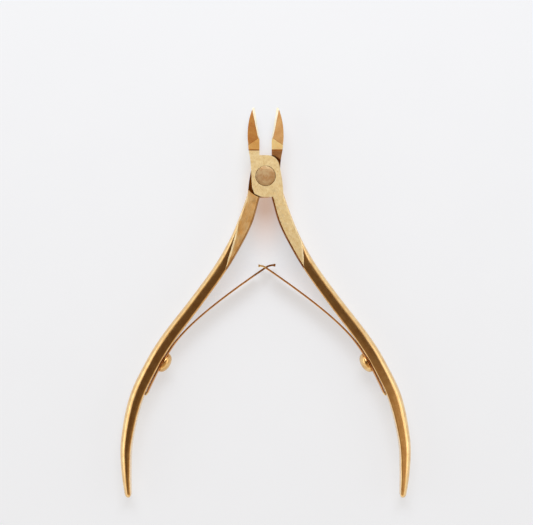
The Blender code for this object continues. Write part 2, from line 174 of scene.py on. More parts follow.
@dataclass(frozen=True)
class MetalFinish:
    """A gold-coloured plating on steel and the marks that its polishing left.

    Real grinding marks are about 0.05 mm apart, too fine to show, so they are drawn
    0.12 to 0.3 mm apart and a little deeper.

    Attributes:
        name: What the finish is.
        light: Colour of the plating where it is thickest.
        dark: Colour of its warmer patches.
        roughness: Mean roughness.
        patch_mm: Size of the patches.
        mark_mm: Spacing of the polishing marks.
        mark_run: How many times longer than their spacing the marks are.
        wave_mm: Size of the slow waves that hand polishing leaves.
    """

    name: str
    light: str
    dark: str
    roughness: float
    patch_mm: float = 2.5
    mark_mm: float = 0.12
    mark_run: float = 14.0
    mark_depth_mm: float = 0.004
    wave_mm: float = 5.0
    wave_depth_mm: float = 0.02
    pattern: Pattern = Pattern.ALONG_HANDLE

    def mark_place(self, tree: bpy.types.NodeTree,
                   place: bpy.types.NodeSocket) -> bpy.types.NodeSocket:
        """Lays coordinates that count in mark spacings.

        Args:
            tree: The material's nodes.
            place: The piece's own coordinates.

        Returns:
            The coordinates, stretched along the way that the marks run.
        """
        per_mark = 1.0 / (self.mark_mm * MM)
        slow = per_mark / self.mark_run
        source, scale = place, (per_mark, per_mark, per_mark)
        if self.pattern is Pattern.ACROSS:
            scale = (slow, per_mark, per_mark)
        elif self.pattern is Pattern.TURNED:
            flat = add_node(tree, "ShaderNodeVectorMath", {0: place, 1: (1.0, 1.0, 0.0)},
                            operation="MULTIPLY").outputs["Vector"]
            radius = add_node(tree, "ShaderNodeVectorMath", {0: flat},
                              operation="LENGTH").outputs["Value"]
            source = add_node(tree, "ShaderNodeCombineXYZ", {"X": radius}).outputs["Vector"]
            scale = (per_mark, 1.0, 1.0)
        elif self.pattern is Pattern.ALONG_LEAF:
            # The strip's own map is in metres: U along it and V across.
            source = add_node(tree, "ShaderNodeUVMap", uv_map="strip").outputs["UV"]
            scale = (slow, per_mark, 1.0)
        elif self.pattern is Pattern.ALONG_HANDLE:
            # The half's own map is in metres: U down its centre line and V across it.
            height = add_node(tree, "ShaderNodeSeparateXYZ", {0: place}).outputs["Z"]
            grain = add_node(tree, "ShaderNodeUVMap", uv_map="grain").outputs["UV"]
            level = add_node(tree, "ShaderNodeCombineXYZ", {"Z": height}).outputs["Vector"]
            source = add_node(tree, "ShaderNodeVectorMath", {0: grain, 1: level}).outputs["Vector"]
            scale = (slow, per_mark, per_mark)
        mapping = add_node(tree, "ShaderNodeMapping", {"Vector": source, "Scale": scale})
        return mapping.outputs["Vector"]

    def build(self) -> bpy.types.Material:
        """Makes the material.

        Returns:
            A Principled metal with patches, marks and slow waves.
        """
        material = bpy.data.materials.new(self.name)
        material.use_nodes = True
        tree = material.node_tree
        shader = tree.nodes["Principled BSDF"]
        place = add_node(tree, "ShaderNodeTexCoord").outputs["Object"]
        noises = []
        for vector, scale, detail, rough in (
                (place, 1.0 / (self.patch_mm * MM), 4.0, 0.6),
                (self.mark_place(tree, place), 1.0, 2.0, 0.5),
                (place, 1.0 / (self.wave_mm * MM), 1.0, 0.5)):
            noises.append(add_node(tree, "ShaderNodeTexNoise", {
                "Vector": vector, "Scale": scale, "Detail": detail,
                "Roughness": rough}).outputs["Fac"])
        patches, marks, waves = noises
        ramps = []
        for value, fade, low, high in (
                (patches, PATCH_FADE, 0.0, 1.0), (marks, MARK_FADE, 0.0, 1.0),
                (marks, MARK_FADE, *(self.roughness * part for part in MARK_GLOSS))):
            ramps.append(add_node(tree, "ShaderNodeMapRange", {
                "Value": value, "From Min": fade[0], "From Max": fade[1],
                "To Min": low, "To Max": high}).outputs["Result"])
        spread, streak, gloss = ramps
        tone = add_node(tree, "ShaderNodeMix", {
            "Factor": MARK_TONE, 2: spread, 3: streak}).outputs[0]
        tint = add_node(tree, "ShaderNodeMix", {
            "Factor": tone, 6: linear(self.light), 7: linear(self.dark)}, data_type="RGBA")
        slow = add_node(tree, "ShaderNodeBump", {
            "Height": waves, "Strength": 1.0, "Distance": self.wave_depth_mm * MM})
        fine = add_node(tree, "ShaderNodeBump", {
            "Height": marks, "Strength": 1.0, "Distance": self.mark_depth_mm * MM,
            "Normal": slow.outputs["Normal"]})
        tree.links.new(tint.outputs[2], shader.inputs["Base Color"])
        tree.links.new(gloss, shader.inputs["Roughness"])
        tree.links.new(fine.outputs["Normal"], shader.inputs["Normal"])
        shader.inputs["Metallic"].default_value = 1.0
        return material


# Titanium-nitride gold on ground steel: pale and broad in its shine, with fine marks.
PALE_SATIN = MetalFinish("satin_gold_plated_steel", "#FFF2CA", "#E8D098", 0.56,
                         patch_mm=1.0, mark_mm=0.3, mark_run=2.5, mark_depth_mm=0.014)
# The same plating over a finer grind, a little glossier, and painted deeper in colour as shade for
# the far half's flats.
SHADED_SATIN = MetalFinish("shaded_fine_satin_gold_plated_steel", "#FFE2AC", "#E0AC62", 0.48,
                         mark_mm=0.3, mark_run=6.0, mark_depth_mm=0.010)
# Buffed to a mirror by hand, so its reflections waver and its tone is uneven.
MIRROR = MetalFinish("mirror_polished_gold_plated_steel", "#FADCA6", "#E4B980", 0.17,
                     patch_mm=1.4, mark_mm=0.3, mark_depth_mm=0.010, wave_mm=4.0,
                     wave_depth_mm=0.03)
# Pale gold painted as a highlight beside the ground flats and on the boss's rims, where their
# rounded edges catch the light.
PAINTED_HIGHLIGHT = MetalFinish("painted_highlight_gold_edge", "#FFF8DC", "#FFEBB8", 0.58)
# Cross-ground with a coarse wheel, with marks across the blade.  The near jaw's blade is painted
# darker and more coppery as shade, and the far jaw's grind, also on its inner edges, paler as
# light, for how each faces the light.
SHADED_GRIND = MetalFinish("shaded_cross_ground_gold_steel", "#B28347", "#985F30", 0.38,
                            pattern=Pattern.ACROSS, mark_depth_mm=0.006)
LIT_GRIND = MetalFinish("lit_cross_ground_gold_steel", "#C9A16C", "#B28350", 0.38,
                        pattern=Pattern.ACROSS, mark_depth_mm=0.006)
# The far half's jaw base beside the joint, painted browner as shade for a face that catches a
# darker reflection.
JAW_BASE_SHADE = MetalFinish("shaded_brown_satin_gold_steel", "#E0AC74", "#AE7442", 0.38)
# The small facets at the blades' roots, ground with a fine wheel and painted in two tones for how
# each faces the light: the far jaw's is painted paler as light.
FACET_GRIND_SHADED = MetalFinish("facet_ground_gold_steel_shaded", "#FFD992", "#F2BC6E", 0.40,
                           pattern=Pattern.ACROSS)
FACET_GRIND_LIT = MetalFinish("facet_ground_gold_steel_lit", "#FFF2BC", "#FFDC96", 0.52,
                         pattern=Pattern.ACROSS)
# The bare honed edge, almost without plating.
HONED = MetalFinish("honed_pale_steel_edge", "#FFFFF4", "#FFF8DC", 0.55,
                    pattern=Pattern.ACROSS)
# Dark brown painted as shade into the steps, the joint's cut faces and the near half's inner
# edges.
PAINTED_SHADE = MetalFinish("painted_shade_brown_gold_steel", "#A86A2C", "#7A4516", 0.35)
# Lathe-turned rivet head with concentric marks.
TURNED_HEAD = MetalFinish("lathe_turned_coppery_rivet", "#FFEEC4", "#D8A064", 0.42,
                          pattern=Pattern.TURNED, mark_mm=0.34, mark_depth_mm=0.045,
                          wave_depth_mm=0.014, wave_mm=1.2)
# Rolled spring strip, blued brown under its plating, with marks along it.
SPRING_STRIP = MetalFinish("rolled_copper_gold_spring_strip", "#EAB478", "#C28A54", 0.32,
                           pattern=Pattern.ALONG_LEAF, mark_run=30.0)
# The spring's curled end, worn pale where the two leaves slide on each other.
SPRING_TIP = MetalFinish("rubbed_pale_gold_spring_tip", "#FFE6AC", "#E6BC78", 0.34,
                         pattern=Pattern.ALONG_LEAF, mark_run=30.0)
# Cold-headed dome, tumbled bright.
TUMBLED_DOME = MetalFinish("tumbled_bright_gold_dome", "#F8D69A", "#C89450", 0.22,
                           pattern=Pattern.EVERY_WAY, mark_depth_mm=0.0015,
                           wave_depth_mm=0.015, wave_mm=2.0)


def shown(shape: Shape, name: str,
          finishes: list[bpy.types.Material]) -> Piece:
    """Turns a bmesh into an object at the origin.

    Args:
        shape: The finished mesh, which is freed.
        name: The piece's name.
        finishes: Its material slots, in order.

    Returns:
        The new object.
    """
    mesh = bpy.data.meshes.new(name)
    shape.to_mesh(mesh)
    shape.free()
    item = bpy.data.objects.new(name, mesh)
    bpy.context.scene.collection.objects.link(item)
    for finish in finishes:
        mesh.materials.append(finish)
    return item


def keep_result(item: Piece) -> None:
    """Replaces a piece's mesh by what its modifiers make of it and drops them.

    Args:
        item: The piece.
    """
    graph = bpy.context.evaluated_depsgraph_get()
    graph.update()
    result = bpy.data.meshes.new_from_object(item.evaluated_get(graph))
    item.modifiers.clear()
    spent = item.data
    item.data = result
    bpy.data.meshes.remove(spent)


def smooth(item: Piece, angle: float) -> None:
    """Shades a piece smooth, with its flats kept flat beside their rounded rims.

    Args:
        item: The piece.
        angle: Faces that meet at more than this keep a sharp edge.
    """
    item.data.shade_smooth()
    item.data.set_sharp_from_angle(angle=angle)
    weigh = item.modifiers.new("weigh", "WEIGHTED_NORMAL")
    weigh.mode = "FACE_AREA"
    weigh.weight = 50
    weigh.keep_sharp = True
    keep_result(item)


def carve(item: Piece, shape: Shape, operation: str) -> None:
    """Joins another closed shape to a piece, or cuts it away, and keeps the result.

    Args:
        item: The piece that changes.
        shape: The other shape, whose faces already carry material numbers.
        operation: "UNION" or "DIFFERENCE".
    """
    other = shown(shape, "cutter", list(item.data.materials))
    step = item.modifiers.new("carve", "BOOLEAN")
    step.operation = operation
    step.object = other
    step.solver = "EXACT"
    keep_result(item)
    spent = other.data
    bpy.data.objects.remove(other, do_unlink=True)
    bpy.data.meshes.remove(spent)


def mark_faces(shape: Shape, zone: int) -> Shape:
    """Gives every face of a shape one material number.

    Args:
        shape: The shape, which changes.
        zone: The number.

    Returns:
        The same shape.
    """
    for face in shape.faces:
        face.material_index = zone
    return shape


def close_shape(shape: Shape) -> Shape:
    """Welds doubles and turns all faces outward.

    Args:
        shape: The shape, which changes.

    Returns:
        The same shape.
    """
    bmesh.ops.remove_doubles(shape, verts=shape.verts, dist=WELD)
    bmesh.ops.recalc_face_normals(shape, faces=shape.faces)
    return shape


def flow(rows: Rows, share: float) -> list[float]:
    """Catmull-Rom value of every column.

    Args:
        rows: Numbers that the curve runs through.
        share: How far through the rows.

    Returns:
        One value for each column.
    """
    place = share * (len(rows) - 1)
    first = min(int(place), len(rows) - 2)
    t = place - first
    before = rows[max(first - 1, 0)]
    after = rows[min(first + 2, len(rows) - 1)]
    values = []
    for a, b, c, d in zip(before, rows[first], rows[first + 1], after):
        rise = (c - a) / 2
        fall = (d - b) / 2
        values.append((2 * t**3 - 3 * t**2 + 1) * b + (t**3 - 2 * t**2 + t) * rise
                      + (3 * t**2 - 2 * t**3) * c + (t**3 - t**2) * fall)
    return values


def curve_through(points: Rows, steps: int) -> Plan:
    """A smooth plan curve through points, with a number of steps between each two."""
    total = (len(points) - 1) * steps
    return [tuple(flow(points, i / total)) for i in range(total + 1)]


def arc(radius: float, start: float, end: float, steps: int) -> Plan:
    """Points on a circle about the pivot, with angles in degrees from +X."""
    turns = [radians(start + (end - start) * i / steps) for i in range(steps + 1)]
    return [(radius * cos(turn), radius * sin(turn)) for turn in turns]


def quarter(steps: int) -> Plan:
    """Cosine and sine of every step through a quarter turn."""
    return [(cos(pi / 2 * i / steps), sin(pi / 2 * i / steps)) for i in range(steps + 1)]


def turned(profile: Plan, steps: int = 96) -> Shape:
    """A solid of revolution about Z.

    Args:
        profile: Radius and height points from pole to pole.
        steps: Number of steps round.

    Returns:
        The closed shape.
    """
    shape = bmesh.new()
    points = [shape.verts.new((radius, 0.0, height)) for radius, height in profile]
    edges = [shape.edges.new(pair) for pair in zip(points, points[1:])]
    bmesh.ops.spin(shape, geom=points + edges, axis=UP, cent=(0.0, 0.0, 0.0),
                   angle=2 * pi, steps=steps, use_merge=True)
    return close_shape(shape)


def post(radius: float, low: float, high: float, steps: int = 48) -> Shape:
    """A round post about Z, from one height to another."""
    return turned([(0.0, low), (radius, low), (radius, high), (0.0, high)], steps)


def block(x_span: Span, y_span: Span, z_span: Span) -> Shape:
    """A cube stretched between two places on each axis.

    Args:
        x_span: Its left and right sides.
        y_span: Its near and far sides.
        z_span: Its bottom and top.

    Returns:
        The closed shape.
    """
    shape = bmesh.new()
    bmesh.ops.create_cube(shape, size=1.0)
    for corner in shape.verts:
        corner.co = [span[value > 0] for value, span in zip(corner.co, (x_span, y_span, z_span))]
    return shape


def plate(outline: Plan, high: float) -> Shape:
    """A flat plate that stands on z = 0.

    Args:
        outline: Its corners in the plan.
        high: The height of its top.

    Returns:
        The closed shape.
    """
    shape = bmesh.new()
    corners = [shape.verts.new((x, y, 0.0)) for x, y in outline]
    base = shape.faces.new(corners)
    made = bmesh.ops.extrude_face_region(shape, geom=[base])
    lifted = [part for part in made["geom"] if isinstance(part, bmesh.types.BMVert)]
    bmesh.ops.translate(shape, verts=lifted, vec=(0.0, 0.0, high))
    return close_shape(shape)


def swept(rings: list[Ring], zones: list[list[int]]) -> Shape:
    """Draws a ring of points along its path and closes both ends.

    Args:
        rings: Rings with the same number of points.
        zones: For each stretch between rings, the material number of each side.

    Returns:
        The closed shape.
    """
    shape = bmesh.new()
    count = len(rings[0])
    made = bmesh.ops.create_circle(shape, segments=count, radius=MM, cap_ends=True)
    loop = made["verts"]
    for vert, point in zip(loop, rings[0]):
        vert.co = point
    edges = [shape.edges.get((loop[i], loop[(i + 1) % count])) for i in range(count)]
    for ring, stretch in zip(rings[1:], zones):
        made = bmesh.ops.extrude_edge_only(shape, edges=edges)["geom"]
        new = {part for part in made if isinstance(part, bmesh.types.BMFace)}
        partner = {}
        for edge, zone in zip(edges, stretch):
            face = next(face for face in edge.link_faces if face in new)
            face.material_index = zone
            for rail in face.edges:
                if rail != edge:
                    for vert in set(edge.verts).intersection(rail.verts):
                        partner[vert] = rail.other_vert(vert)
        loop = [partner[vert] for vert in loop]
        for vert, point in zip(loop, ring):
            vert.co = point
        edges = [shape.edges.get((loop[i], loop[(i + 1) % count])) for i in range(count)]
    shape.faces.new(loop)
    bmesh.ops.recalc_face_normals(shape, faces=shape.faces)
    return shape


@dataclass
class HandleForm:
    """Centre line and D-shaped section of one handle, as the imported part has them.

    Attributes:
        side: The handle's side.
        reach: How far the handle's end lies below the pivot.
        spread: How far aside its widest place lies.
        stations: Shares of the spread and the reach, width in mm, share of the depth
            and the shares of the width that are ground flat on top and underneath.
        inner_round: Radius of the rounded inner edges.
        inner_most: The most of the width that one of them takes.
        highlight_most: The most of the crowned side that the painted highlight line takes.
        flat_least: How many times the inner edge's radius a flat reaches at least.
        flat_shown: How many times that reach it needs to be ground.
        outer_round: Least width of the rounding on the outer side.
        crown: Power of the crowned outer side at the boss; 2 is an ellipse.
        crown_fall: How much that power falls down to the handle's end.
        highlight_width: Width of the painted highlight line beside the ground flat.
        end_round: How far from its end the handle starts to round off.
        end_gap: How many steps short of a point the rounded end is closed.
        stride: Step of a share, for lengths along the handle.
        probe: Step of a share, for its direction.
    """

    side: Side
    reach: float = 85.2 * MM
    spread: float = 37.0 * MM
    stations: Rows = (
        (0.062, 0.0235, 3.20, 1.00, 0.97, 0.97),
        (0.096, 0.0728, 3.40, 1.00, 0.97, 0.97),
        (0.142, 0.1350, 3.75, 1.00, 0.97, 0.94),
        (0.211, 0.2007, 3.50, 1.00, 0.93, 0.55),
        (0.323, 0.2845, 3.35, 1.00, 0.00, 0.10),
        (0.488, 0.3843, 3.40, 1.00, 0.00, 0.00),
        (0.706, 0.5088, 3.60, 1.00, 0.00, 0.00),
        (0.828, 0.5962, 3.65, 1.00, 0.00, 0.00),
        (0.933, 0.6960, 3.60, 0.97, 0.00, 0.00),
        (0.995, 0.8204, 3.10, 0.87, 0.00, 0.00),
        (1.000, 0.9143, 2.55, 0.77, 0.00, 0.00),
        (0.984, 1.0000, 1.60, 0.63, 0.00, 0.00),
    )
    inner_round: float = 0.38 * MM
    inner_most: float = 0.2
    highlight_most: float = 0.4
    flat_least: float = 1.05
    flat_shown: float = 1.01
    outer_round: float = 0.5 * MM
    crown: float = 3.1
    crown_fall: float = 1.1
    highlight_width: float = 0.45 * MM
    end_round: float = 1.2 * MM
    steps: int = 150
    corner_steps: int = 5
    side_steps: int = 14
    end_steps: int = 9
    end_gap: float = 0.6
    stride: float = 0.0005
    probe: float = 0.002

    def centre(self, share: float) -> Vector:
        """The centre line's point at a share of its way."""
        across, along = flow(self.stations, share)[:2]
        return Vector((self.side * across * self.spread, -along * self.reach, DEPTH / 2))

    def direction(self, share: float) -> Vector:
        """Unit vector down the handle."""
        ahead = self.centre(min(share + self.probe, 1.0))
        return (ahead - self.centre(max(share - self.probe, 0.0))).normalized()

    def inward(self, share: float) -> Vector:
        """Unit vector towards the other handle."""
        return UP.cross(self.direction(share)) * -self.side

    def inner_face(self, share: float) -> Vector:
        """The middle of the inner face."""
        width = flow(self.stations, share)[2] * MM
        return self.centre(share) + self.inward(share) * width / 2

    def share_at(self, reach: float) -> float:
        """Finds a place on the inner face by halving.

        Args:
            reach: How far it lies below the pivot.

        Returns:
            Its share of the way down the handle.
        """
        low, high = 0.0, 1.0
        for _ in range(40):
            middle = (low + high) / 2
            if -self.inner_face(middle).y < reach:
                low = middle
            else:
                high = middle
        return low

    def share_along(self, share: float, distance: float) -> float:
        """Walks along the centre line.

        Args:
            share: Where the walk starts.
            distance: How far down the handle it goes; below zero goes up.

        Returns:
            The share at which it ends.
        """
        step = self.stride if distance > 0 else -self.stride
        covered = 0.0
        while covered < abs(distance):
            covered += (self.centre(share + step) - self.centre(share)).length
            share += step
        return share

    def kept_clear(self, point: Vector, offset: float) -> Vector:
        """Keeps a point clear of the inner face.

        Args:
            point: The point.
            offset: The least distance from the face.

        Returns:
            The point, moved inward if it was nearer than that.
        """
        share = self.share_at(-point.y)
        inward = self.inward(share)
        gap = (point - self.inner_face(share)).dot(inward)
        return point + inward * max(offset - gap, 0.0)

    def section(self, share: float, shrink: float, under: bool) -> tuple[Plan, list[int]]:
        """Half of the section, from the middle of the inner face to the outer side.

        Args:
            share: Where on the handle.
            shrink: Scale of the section, below one on the rounded end.
            under: Whether it is the lower half.

        Returns:
            Distances from the inner face with heights, and each stretch's zone.
        """
        _, _, wide, thick, *flats = flow(self.stations, share)
        width = wide * MM * shrink
        half = DEPTH / 2 * thick * shrink
        corner = min(self.inner_round, width * self.inner_most)
        least = corner * self.flat_least
        crest = max(min(flats[under] * width, width - self.outer_round), least)
        highlight_strip = min(self.highlight_width, (width - crest) * self.highlight_most, crest - corner)
        ground = highlight_zone = edge = Zone.POLISHED
        if crest > least * self.flat_shown:
            # The strip beside the ground flat is painted pale as a highlight; the inner edge is
            # painted dark as shade on the near half and paler as light on the far half.
            ground, highlight_zone, edge = Zone.GROUND_FLAT, Zone.PAINTED_HIGHLIGHT_EDGE, Zone.INNER_EDGE
        crown = self.crown - self.crown_fall * share**2
        points = [(0.0, 0.0)]
        zones = [edge]
        for aside, up in quarter(self.corner_steps):
            points.append((corner * (1 - aside), half - corner * (1 - up)))
            zones.append(edge)
        zones[-1] = ground
        points.append(((corner + crest) / 2, half))
        zones.append(ground)
        points.append((crest, half))
        zones.append(highlight_zone)
        start = asin((highlight_strip / (width - crest)) ** (crown / 2))
        for i in range(self.side_steps + 1):
            turn = start + (pi / 2 - start) * i / self.side_steps
            last = i == self.side_steps
            u = 1.0 if last else sin(turn) ** (2 / crown)
            z = 0.0 if last else cos(turn) ** (2 / crown)
            points.append((crest + (width - crest) * u, half * z))
            zones.append(Zone.POLISHED)
        return points, zones

    def ring(self, share: float, shrink: float) -> tuple[Ring, list[int]]:
        """Places the whole section in the frame.

        Args:
            share: Where on the handle.
            shrink: Its scale.

        Returns:
            Its points and the zone of each side.
        """
        upper, zones = self.section(share, shrink, False)
        below, zones_below = self.section(share, shrink, True)
        lower = [(u, -z) for u, z in reversed(below[1:-1])]
        inward = self.inward(share)
        width = upper[-1][0]
        base = self.centre(share) + inward * width / 2
        points = [base - inward * u + UP * z for u, z in upper + lower]
        return points, zones[:-1] + zones_below[-2::-1]

    def solid(self) -> Shape:
        """Draws the section down the handle.

        Returns:
            The handle with its rounded end.
        """
        rounded = 1.0 - self.share_along(1.0, -self.end_round)
        places = [(i / self.steps * (1.0 - rounded), 1.0) for i in range(self.steps + 1)]
        for i in range(1, self.end_steps + 1):
            turn = pi / 2 * i / (self.end_steps + self.end_gap)
            places.append((1.0 - rounded + rounded * sin(turn), cos(turn)))
        rings, zones = [], []
        for share, shrink in places:
            points, sides = self.ring(share, shrink)
            rings.append(points)
            zones.append(sides)
        return swept(rings, zones)


@dataclass
class ForgedHalf:
    """One half: jaw, boss, shank and handle.

    The right half has its jaw on the left and its boss on top.  The left half is the
    same forging turned over about the Y axis.

    Attributes:
        blade_curve: Shares of the blade's length and of the jaw's bulge.
        shoulder_curve: Shares of the boss's radius and of the jaw's base, as the next
            two curves are of the boss's left and right widths.
        stub: Corners below the boss, inside the shank.
        notch: The notch's ends, as shares of the boss's radius and of edge_start.
        bottom_arc: Angles between which the boss is round below, and the steps there.
        facet: The face over the step: its drop at the jaw's outer side, and how much it
            falls for each unit towards the cutting edge and towards the tip.
        blade: The same for the blade's face.
        bevel_rows: Height above the pivot and width, in mm, of the cutting bevel.
    """

    side: Side
    body: str
    node: str
    slot: str
    finishes: list[MetalFinish]
    boss_radius: float = 5.5 * MM
    shoulder_clearance: float = 0.3 * MM
    lap_clearance: float = 0.15 * MM
    boss_left: float = 3.75 * MM
    boss_right: float = 3.8 * MM
    notch_half_width: float = 1.62 * MM
    jaw_length: float = 18.5 * MM
    edge_angle: float = radians(9.2)
    edge_start: float = 10.3 * MM
    tip_width: float = 0.45 * MM
    jaw_bulge: float = 4.75 * MM
    jaw_base_width: float = 4.5 * MM
    neck_share: float = 0.498
    blade_curve: Rows = ((0.66, 0.89), (0.33, 0.98), (0.0, 1.0))
    shoulder_curve: Rows = ((0.92, 0.92), (0.4, 0.855))
    waist_curve: Rows = ((-0.45, 0.96), (-0.67, 0.88))
    side_curve: Rows = ((-0.75, 1.224), (-0.25, 1.158), (0.36, 1.0), (0.6, 0.92),
                        (0.79, 0.78), (0.90, 0.60), (0.975, 0.37), (0.995, 0.12))
    stub: Rows = ((2.5 * MM, 0.0), (3.1 * MM, -1.5 * MM), (4.6 * MM, -1.2 * MM))
    notch: Span = (0.995, 0.94)
    bottom_arc: tuple[int, int, int] = (238, 270, 14)
    curve_steps: int = 6
    step_height: float = 7.0 * MM
    step_ramp: float = 0.2 * MM
    step_shown: float = 0.32 * MM
    facet: Sloped = (0.35 * MM, 0.36, 0.03)
    blade: Sloped = (0.20 * MM, 0.255, 0.18)
    bevel_reach: float = 1.5 * MM
    bevel_rows: Rows = ((9.8, 0.06), (10.6, 0.32), (12.4, 0.42), (14.2, 0.50), (16.0, 0.58),
                        (17.8, 0.66), (19.6, 0.74))
    bevel_margin: float = 0.15 * MM
    edge_land: float = 0.06 * MM
    rim: float = 0.18 * MM
    rim_steps: int = 3
    rim_end: float = 0.9
    jaw_base_start: float = 0.8
    pivot_clearance: float = 0.1 * MM
    stud_clearance: float = 0.2 * MM
    sharp: float = radians(30.0)
    grain_steps: int = 240

    def outline(self) -> Plan:
        """Draws the plan of the jaw and the boss.

        Returns:
            Its corners, with a stub that runs into the shank.
        """
        across, up, boss = sin(self.edge_angle), cos(self.edge_angle), self.boss_radius
        edge = (self.edge_start * across, self.edge_start * up)
        tip = (self.jaw_length * across, self.jaw_length * up)
        outer = [(-tip[0] - self.tip_width, tip[1])]
        for along, wide in self.blade_curve:
            outer.append((-self.jaw_bulge * wide, edge[1] + (tip[1] - edge[1]) * along))
        neck = (self.jaw_bulge + self.jaw_base_width) * self.neck_share
        outer.append((-neck, (edge[1] + self.step_height) / 2))
        outer.append((-self.jaw_base_width, self.step_height))
        for curve, width in ((self.shoulder_curve, self.jaw_base_width),
                             (self.waist_curve, self.boss_left)):
            outer += [(-width * wide, boss * along) for along, wide in curve]
        bottom = arc(boss, *self.bottom_arc)
        outer.append(bottom[0])
        stub = [(x, y - boss) for x, y in self.stub]
        right = [(self.boss_right * wide, boss * along) for along, wide in self.side_curve]
        inner = [(-self.notch_half_width, boss * self.notch[0]),
                 (-self.notch_half_width, self.edge_start * self.notch[1]),
                 (-edge[0], edge[1]), (-tip[0], tip[1])]
        return (curve_through(outer, self.curve_steps) + bottom[1:] + stub
                + curve_through(right, self.curve_steps) + inner)

    def head(self) -> Shape:
        """Makes a plate and softens its rims.

        Returns:
            The jaw and the boss.
        """
        shape = plate(self.outline(), DEPTH)
        rims = []
        for edge in shape.edges:
            flat = abs(edge.verts[0].co.z - edge.verts[1].co.z) < WELD
            below = max(vert.co.y for vert in edge.verts) < self.edge_start * self.rim_end
            stub = min(vert.co.y for vert in edge.verts) < -self.boss_radius - WELD
            if flat and below and not stub:
                rims.append(edge)
        bmesh.ops.bevel(shape, geom=rims, offset=self.rim, offset_type="OFFSET",
                        segments=self.rim_steps, profile=0.5, affect="EDGES", material=-1,
                        clamp_overlap=True)
        mark_faces(close_shape(shape), Zone.GROUND_FLAT)
        # Sloped rims below the boss take the inner edges' finish, painted dark as shade on the
        # near half and paler as light on the far half; those on the jaw's outer side are painted
        # pale as a highlight.
        for face in shape.faces:
            place = face.calc_center_median()
            slopes = 0.05 < abs(face.normal.z) < 0.95
            if slopes and place.y < self.boss_radius:
                if place.y < -self.boss_radius * self.rim_end:
                    face.material_index = Zone.INNER_EDGE
                elif place.x < -self.notch_half_width:
                    face.material_index = Zone.PAINTED_HIGHLIGHT_EDGE
        return shape

    def face_height(self, face: Sloped, x: float, y: float) -> float:
        """Height of a sloped face at a place in the plan."""
        drop, tilt, fall = face
        return DEPTH - drop - tilt * (x + self.jaw_bulge) - fall * (y - self.step_height)

    def sloped_block(self, face: Sloped, start: float, zone: Zone) -> Shape:
        """Makes the block over a face that drops towards the cutting edge and the tip.

        Args:
            face: Its drop, tilt and fall.
            start: How far above the pivot it starts.
            zone: The zone of the face that it leaves.

        Returns:
            The block, upright on its near side.
        """
        shape = block((-self.jaw_bulge - BLOCK / 2, -self.jaw_bulge + BLOCK / 2),
                      (start, self.jaw_length + BLOCK / 2), (0.0, BLOCK))
        for corner in shape.verts:
            corner.co.z += self.face_height(face, corner.co.x, corner.co.y)
        mark_faces(shape, zone)
        near = min(shape.faces, key=lambda side: side.calc_center_median().y)
        near.material_index = Zone.STEP
        return shape

    def step_block(self) -> Shape:
        """Makes the block over the chamfer at the top of the step, which is painted dark brown as
        shade.

        Returns:
            The block, which leans along the chamfer.
        """
        shape = block((-BLOCK / 2, BLOCK / 2),
                      (self.step_height - 2 * self.step_shown, self.step_height), (0.0, BLOCK))
        for corner in shape.verts:
            near = corner.co.y < self.step_height - self.step_shown
            corner.co.z += DEPTH + (self.facet[0] if near else -self.facet[0])
        return mark_faces(shape, Zone.STEP)

    def bevel_block(self) -> Shape:
        """Makes the block over the cutting bevel, which widens towards the tip.

        Returns:
            The block.
        """
        run = tan(self.edge_angle)
        land = DEPTH / 2 + self.edge_land / 2
        rings = []
        for reach, width in curve_through(self.bevel_rows, self.curve_steps):
            y, aside = reach * MM, width * MM
            rise = self.face_height(self.blade, -y * run - aside, y) - land
            slope = max(rise, self.edge_land) / aside
            ring = []
            for side in (-aside - self.bevel_margin, 0.0, self.bevel_reach):
                ring.append(Vector((side - y * run, y, land - slope * side)))
            top = DEPTH + BLOCK
            rings.append(ring + [Vector((point.x, y, top)) for point in reversed(ring)])
        shape = swept(rings, [[Zone.CUTTING_BEVEL] * 6] * (len(rings) - 1))
        bmesh.ops.triangulate(shape, faces=shape.faces)
        return mark_faces(shape, Zone.CUTTING_BEVEL)

    def pivot_hole(self) -> Shape:
        """Turns the shape of the pivot rivet's hole.

        Returns:
            The hole, countersunk from both sides.
        """
        head = PivotRivet.head + self.pivot_clearance
        shank = PivotRivet.shank + self.pivot_clearance
        low = PivotRivet.head_depth + self.pivot_clearance
        slope, high = head - shank, DEPTH - low
        profile = [(0.0, -BLOCK), (head, -BLOCK), (head, low), (shank, low + slope),
                   (shank, high - slope), (head, high), (head, BLOCK), (0.0, BLOCK)]
        return mark_faces(turned(profile), Zone.LAP)

    def flipped(self, shape: Shape) -> Shape:
        """Turns a shape upside down about the tool's middle plane.

        Args:
            shape: The shape, which changes.

        Returns:
            The same shape.
        """
        bmesh.ops.scale(shape, vec=(1.0, 1.0, -1.0), verts=shape.verts)
        bmesh.ops.translate(shape, vec=(0.0, 0.0, DEPTH), verts=shape.verts)
        bmesh.ops.reverse_faces(shape, faces=shape.faces)
        return shape

    def map_grain(self, item: Piece) -> None:
        """Gives a half a map in metres: U down its centre line, V across it.

        Args:
            item: The half, still right-handed.
        """
        handle = HandleForm(Side.RIGHT)
        shares = np.linspace(0.0, 1.0, self.grain_steps)
        line = np.array([handle.centre(share)[:2] for share in shares])
        down = np.array([handle.direction(share)[:2] for share in shares])
        run = np.concatenate(([0.0], np.cumsum(np.linalg.norm(np.diff(line, axis=0), axis=1))))
        spots = np.array([vert.co[:2] for vert in item.data.vertices])
        nearest = np.argmin(((spots[:, None, :] - line[None, :, :]) ** 2).sum(axis=2), axis=1)
        aside = spots - line[nearest]
        along = run[nearest] + (aside * down[nearest]).sum(axis=1)
        across = aside[:, 0] * down[nearest, 1] - aside[:, 1] * down[nearest, 0]
        layer = item.data.uv_layers.new(name="grain")
        for loop in item.data.loops:
            layer.data[loop.index].uv = (along[loop.vertex_index], across[loop.vertex_index])

